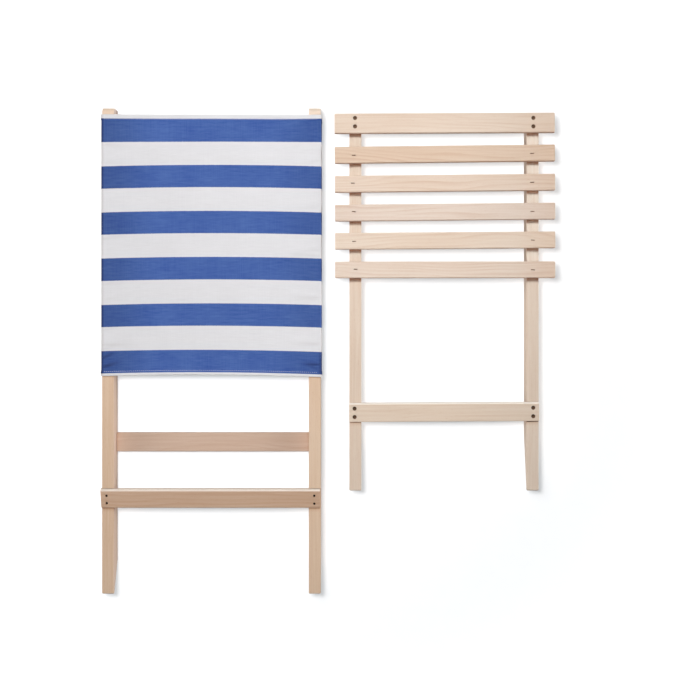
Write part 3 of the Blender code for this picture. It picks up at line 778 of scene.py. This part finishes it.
def stitch(solid, start, stop):
    """A closed thread from start to stop, its ends dipping into the cloth."""
    start, stop, up = Vector(start), Vector(stop), Vector((0, 0, 1))
    along = stop - start
    side = up.cross(along.normalized()).normalized()
    rings = []
    for share, size, rise in STITCH_RINGS:
        centre = start + along * share + up * (rise * THREAD_R)
        ring = []
        for k in range(THREAD_SIDES):
            angle = 2 * pi * k / THREAD_SIDES
            offset = side * cos(angle) + up * sin(angle) * 0.8
            ring.append(solid.verts.new(centre + offset * THREAD_R * size))
        rings.append(ring)
    skin(solid, rings)


def build_stitching():
    solid = bmesh.new()
    for level in (CLOTH_LOW + STITCH_IN, CLOTH_HIGH - STITCH_IN):
        x = STITCH_START
        while x < STITCH_END:
            stitch(solid, *(cloth_point(Column(end, FRONT_IN, 0.0, 1.0, 0.0, "front"), level,
                                        extra=0.08) for end in (x, x + STITCH_LENGTH)))
            x += STITCH_PITCH
    bmesh.ops.recalc_face_normals(solid, faces=solid.faces)
    mesh = to_mesh("hem_stitching", solid)
    return shaded_object("hem_stitching", mesh, thread_material(), sharp=70)


# --------------------------------------------------------------------- screws
SCREW_SIDES = 20
THREAD_PITCH = 1.35
THREAD_STEP = 0.27             # ring spacing down the thread
# kind: (head radius, shank radius, length) in mm
SCREW_SIZES = {"wood": (3.6, 1.8, 32.0), "small": (2.1, 1.4, 30.0), "side": (3.6, 1.9, 42.0)}


def turned_screw(head, shank, length):
    """A screw about Z, its head's top at zero and its point down."""
    neck = -0.1 * head - (head - shank)
    thread_top, thread_end = neck - 1.5, -length + 2.2
    core, crest = shank * 0.70, shank * 0.99
    # (radius, z) down the screw
    profile = [(0, 0.0), (head * 0.55, 0.0), (head * 0.93, -0.02), (head * 0.985, -0.10),
               (head, -0.22), (head * 0.985, -0.1 * head),
               (shank * 1.08, neck + 0.10), (shank, neck), (shank * 0.99, neck - 1.0)]
    z = thread_top
    while z > thread_end:
        profile.append((shank * 0.8, z))
        z -= THREAD_STEP
    profile += [(shank * 0.30, -length + 1.3), (shank * 0.12, -length + 0.35), (0, -length)]

    def radius_at(radius, z, turn):
        """The profile's radius, or the thread's, at a share of a turn."""
        if not thread_end <= z <= thread_top:
            return radius
        phase = ((z / THREAD_PITCH) + turn) % 1.0
        ridge = max(0.0, 1.0 - abs(phase - 0.5) * 3.4)
        grow = (smooth(thread_end, thread_end + 5.0, z)
                * (1 - smooth(thread_top - 1.2, thread_top, z)))
        taper = 0.35 + 0.65 * smooth(thread_end - 0.5, thread_end + 4.0, z)
        return (core + (crest - core) * ridge * grow) * taper

    solid = bmesh.new()
    rings = []
    for radius, z in profile:
        ring = []
        for i in range(SCREW_SIDES if radius else 1):
            angle = 2 * pi * i / SCREW_SIDES
            reach = radius_at(radius, z, i / SCREW_SIDES) if radius else 0.0
            ring.append(solid.verts.new((reach * cos(angle) * MM, reach * sin(angle) * MM,
                                         z * MM)))
        rings.append(ring)
    for upper, lower in zip(rings, rings[1:]):
        for i in range(SCREW_SIDES):
            j = (i + 1) % SCREW_SIDES
            if len(upper) == 1:
                solid.faces.new((upper[0], lower[i], lower[j]))
            elif len(lower) == 1:
                solid.faces.new((upper[i], lower[0], upper[j]))
            else:
                solid.faces.new((upper[i], lower[i], lower[j], upper[j]))
    bmesh.ops.recalc_face_normals(solid, faces=solid.faces)
    return solid


def cross_recess(head):
    """The tapered cross driven into a screw's head, as a cutter."""
    solid = bmesh.new()
    arm, half_width, depth = head * 0.56, head * 0.20 / 2, head * 0.50
    for turn in (0.0, pi / 2):
        rings = []
        for scale, z in ((1.0, 0.4), (1.0, 0.0), (0.28, -depth)):
            ring = []
            for x_sign, y_sign in ((-1, -1), (1, -1), (1, 1), (-1, 1)):
                x = x_sign * arm * scale
                y = y_sign * half_width * (scale * 0.6 + 0.4)
                ring.append(solid.verts.new(((x * cos(turn) - y * sin(turn)) * MM,
                                             (x * sin(turn) + y * cos(turn)) * MM, z * MM)))
            rings.append(ring)
        skin(solid, rings)
    bmesh.ops.recalc_face_normals(solid, faces=solid.faces)
    return solid


def screw_prototype(kind, head, shank, length):
    """The mesh of one kind of screw with its recess cut."""
    blank = link_object(kind + "_blank", to_mesh(kind, turned_screw(head, shank, length)))
    cutter = link_object(kind + "_cross", to_mesh(kind + "_cross", cross_recess(head)))
    cut = blank.modifiers.new("cross", "BOOLEAN")
    cut.operation = "DIFFERENCE"
    cut.solver = "EXACT"
    cut.object = cutter
    cut.use_self = True
    depsgraph = bpy.context.evaluated_depsgraph_get()
    done = bpy.data.meshes.new_from_object(blank.evaluated_get(depsgraph))
    for helper in (blank, cutter):
        bpy.data.objects.remove(helper)
    return done


SCREW_MESHES = {kind: screw_prototype(kind, *size) for kind, size in SCREW_SIZES.items()}
SCREW_STEEL = {
    "wood": metal("browned_screw", colour=(150, 114, 86), stain=(84, 60, 44), roughness=0.42,
                  bare=0.55, recess_shade=(40, 24, 16)),
    "small": metal("dark_screw", colour=(44, 38, 33), stain=(24, 20, 17), roughness=0.45),
    "side": metal("zinc_screw", colour=(150, 141, 124), stain=(98, 88, 74), roughness=0.30),
}


def place_screw(node, kind, spin):
    """Set a screw with its head at the node's upper or outer end."""
    low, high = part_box(node)
    centre = (low + high) / 2
    size = high - low
    if size.z > size.x:
        place = Matrix.Translation((centre.x, centre.y, high.z))
    else:
        sign = 1 if centre.x > BACK_X else -1
        end = high.x if sign > 0 else low.x
        place = (Matrix.Translation((end, centre.y, centre.z))
                 @ Matrix.Rotation(sign * pi / 2, 4, "Y"))
    mesh = SCREW_MESHES[kind].copy()
    mesh.transform(place @ Matrix.Rotation(spin, 4, "Z"))
    mesh.materials.clear()
    made = shaded_object("turned_" + node, mesh, SCREW_STEEL[kind], sharp=38)
    stand_for(made, node)


# -------------------------------------------------------------------- staples
# kind: (crown length, leg length, wire width, wire thickness) in mm, and 1 if the crown
# is on top or -1 if it is underneath
STAPLES = {"slat": (6.6, 25.0, 1.1, 0.8, 1), "fabric": (10.0, 9.0, 1.1, 0.45, -1)}
STAPLE_WIRE = {
    "slat": metal("slat_wire", colour=(116, 92, 74), stain=(66, 48, 36), roughness=0.42),
    "fabric": metal("flap_wire", colour=(168, 164, 156), stain=(120, 114, 104), roughness=0.30),
}


def crown_angle(mesh, face_z, corners, crown):
    """Direction of the crown, from the longest level edge about as long as it."""
    best, angle = 0.0, None
    for edge in mesh.edges:
        start, stop = (mesh.vertices[k].co for k in edge.vertices)
        if abs(start.z - face_z) < 1e-5 and abs(stop.z - face_z) < 1e-5:
            run = stop - start
            if abs(run.length - crown * MM) < 0.4 * MM and run.length > best:
                best, angle = run.length, atan2(run.y, run.x)
    if angle is None:
        # no such edge: take the longest line between corners
        far = max((a - b for a in corners for b in corners), key=lambda run: run.length)
        angle = atan2(far.y, far.x)
    return angle


def place_staple(node, kind):
    """Bent wire with rounded shoulders and chisel points, lying where the node lies."""
    crown, leg, width, thick, up = STAPLES[kind]
    mesh = nodes[node].data
    low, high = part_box(node)
    face_z = high.z if up > 0 else low.z
    corners = [v.co for v in mesh.vertices if abs(v.co.z - face_z) < 1e-5]
    centre = sum(corners, Vector()) / len(corners)
    angle = crown_angle(mesh, face_z, corners, crown)

    # (x, z) down the middle of the wire, from the left point to the crown's middle
    left, top, bend = -crown / 2 + thick / 2, -thick / 2, thick * 0.75
    line = [(left, -leg), (left, -leg + 2.0), (left, top - bend)]
    for k in range(1, 4):
        turn = pi - (pi / 2) * k / 4
        line.append((left + bend + bend * cos(turn), top - bend + bend * sin(turn)))
    line += [(left + bend, top), (0.0, top)]
    line += [(-x, z) for x, z in line[-2::-1]]

    section = [2 * pi * k / 8 + pi / 8 for k in range(8)]
    solid = bmesh.new()
    rings = []
    last = len(line) - 1
    for i, (x, z) in enumerate(line):
        before, after = line[max(0, i - 1)], line[min(last, i + 1)]
        run_x, run_z = after[0] - before[0], after[1] - before[1]
        run = sqrt(run_x ** 2 + run_z ** 2)
        out_x, out_z = -run_z / run, run_x / run
        pinch = 0.25 if i in (0, last) else 1.0
        ring = []
        for turn in section:
            across = cos(turn) * width / 2 * 1.02
            out = sin(turn) * thick / 2 * 1.02 * pinch
            ring.append(solid.verts.new(((x + out_x * out) * MM, across * MM,
                                         (z + out_z * out) * MM)))
        rings.append(ring)
    skin(solid, rings)
    bmesh.ops.recalc_face_normals(solid, faces=solid.faces)
    flip = Matrix.Identity(4) if up > 0 else Matrix.Rotation(pi, 4, "X")
    solid.transform(Matrix.Translation((centre.x, centre.y, face_z))
                    @ Matrix.Rotation(angle, 4, "Z") @ flip)
    made = shaded_object("wire_" + node, to_mesh("wire_" + node, solid), STAPLE_WIRE[kind],
                         sharp=50)
    stand_for(made, node)


# ------------------------------------------------------------------- assembly
for node in BOARDS:
    board(node)

stand_for(build_cloth(), "back_fabric")
stitching = build_stitching()
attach(stitching, "back_half")

for index, node in enumerate(sorted(nodes)):
    if "_screw_" in node:
        kind = ("small" if node.startswith("lower_") else
                "side" if node.startswith(("middle_", "top_")) else "wood")
        # each recess is turned to its own angle
        place_screw(node, kind, radians(17 + 47 * index % 90))
    elif "staple" in node:
        place_staple(node, "slat" if node.startswith("slat") else "fabric")


# ----------------------------------------------------------------- the studio
def floor_material():
    material, net, shader = new_material("paper_floor")
    place = net.object_place()
    tooth = net.noise(place, per_metre=(40.0, 40.0, 40.0))
    # far out it stays as pale as it is near the chair
    far_glow = net.rise(net.vector("LENGTH", place), 0.48, 1.30, high=0.7)
    net.fill(shader, {"Base Color": net.mix(tooth, (0.90, 0.90, 0.905), (0.92, 0.92, 0.92)),
                      "Roughness": 0.9, "Specular IOR Level": 0.0,
                      "Emission Color": (1.0, 1.0, 1.0), "Emission Strength": far_glow})
    return material


def build_floor():
    solid = bmesh.new()
    bmesh.ops.create_grid(solid, x_segments=12, y_segments=12, size=7.0)
    made = shaded_object("floor", to_mesh("floor", solid), floor_material(), sharp=40)
    made.visible_diffuse = False
    made.visible_glossy = False
    made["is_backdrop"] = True
    return made


def build_world():
    """White to the camera, and a dim room, browner below, in mirrored light."""
    world = bpy.data.worlds.new("soft_room")
    world.use_nodes = True
    net = Net(world.node_tree)
    seen = net.node("ShaderNodeLightPath").outputs["Is Camera Ray"]
    height = net.split(net.node("ShaderNodeTexCoord").outputs["Generated"])[2]
    sky = net.mix(net.rise(height, -0.12, 0.12, linear=True),
                  (0.36, 0.26, 0.20), (0.34, 0.34, 0.34))
    net.fill(world.node_tree.nodes["Background"],
             {"Color": net.mix(seen, sky, (1.0, 1.0, 1.0)), "Strength": 1.0})
    # what the room would add to matt surfaces comes from the lamps
    world.cycles_visibility.diffuse = False
    return world


floor = build_floor()
scene = bpy.context.scene
scene.world = build_world()

chair_only = bpy.data.collections.new("chair_only")
floor_only = bpy.data.collections.new("floor_only")
floor_only.objects.link(floor)
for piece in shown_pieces():
    chair_only.objects.link(piece)


def lamp(name, kind, energy, place, receivers, aim=(0, 0, 0), colour=(1, 1, 1), blockers=None,
         **settings):
    """A lamp that lights only receivers; only blockers, if given, shade it."""
    data = bpy.data.lights.new(name, kind)
    data.energy = energy
    data.color = colour
    for key, value in settings.items():
        setattr(data, key, value)
    made = link_object(name, data)
    made.location = place
    made.rotation_euler = (Vector(aim) - Vector(place)).to_track_quat("-Z", "Y").to_euler()
    made.light_linking.receiver_collection = receivers
    if blockers:
        made.light_linking.blocker_collection = blockers
    return made


lamp("key", "AREA", energy=80.0, place=(0.0, 2.05, 3.20), receivers=chair_only,
     aim=(0.0, 0.02, 0.0), colour=(1.0, 0.995, 0.985), size=0.62)
for end, sign in (("east", 1), ("west", -1)):
    lamp("low_" + end, "SUN", energy=2.75, place=(sign * 3.0, 0, 0.62), receivers=chair_only,
         colour=(1.0, 0.985, 0.965), angle=radians(44))
lamp("low_south", "SUN", energy=0.45, place=(0, -3.0, 1.0), receivers=chair_only,
     colour=(1.0, 0.98, 0.96), angle=radians(60))
lamp("overhead", "SUN", energy=0.20, place=(0, 0, 3.0), receivers=chair_only,
     angle=radians(100))
# light thrown back up by the paper
lamp("bounce", "SUN", energy=0.75, place=(0, 0, -3.0), receivers=chair_only,
     colour=(1.0, 0.90, 0.82), blockers=chair_only, angle=radians(120))

# the paper is lit on its own, from beside the lens, so every board throws the same
# narrow shadow to its lower right
EYE = (0.041, 0.0018, 2.58)
PAPER_PALENESS = 0.91
DISC_SHIFT = 0.12              # extra distance of the discs to the left of the lens
# (name, radius over height, share of the paper's light)
for name, slope, share in (("paper_core", 0.125, 0.44), ("paper_wide", 0.40, 0.18)):
    reach = slope * EYE[2]
    tilt = 2 * slope * slope
    x, y = EYE[0] - reach - DISC_SHIFT, EYE[1] + reach
    disc = lamp(name, "AREA", energy=share * (pi * EYE[2] * (1 + tilt)) ** 2 / PAPER_PALENESS,
                place=(x, y, EYE[2]), aim=(x, y, 0.0), receivers=floor_only,
                shape="DISK", size=2 * reach)
    disc.visible_camera = False
lamp("paper_even", "SUN", energy=1.88, place=(0, 0, 3), receivers=floor_only,
     colour=(0.945, 0.978, 1.0), blockers=floor_only, angle=radians(10))

camera_data = bpy.data.cameras.new("camera")
camera_data.sensor_width = 36.0
camera_data.lens = 71.38
camera_data.clip_start = 0.05
camera_data.clip_end = 50.0
camera = link_object("camera", camera_data)
camera.location = EYE
camera.rotation_euler = (0.0, 0.0, 0.0)
scene.camera = camera
scene.view_settings.view_transform = "Standard"
scene.view_settings.look = "None"
scene.view_settings.exposure = 0.0
scene.view_settings.gamma = 1.0
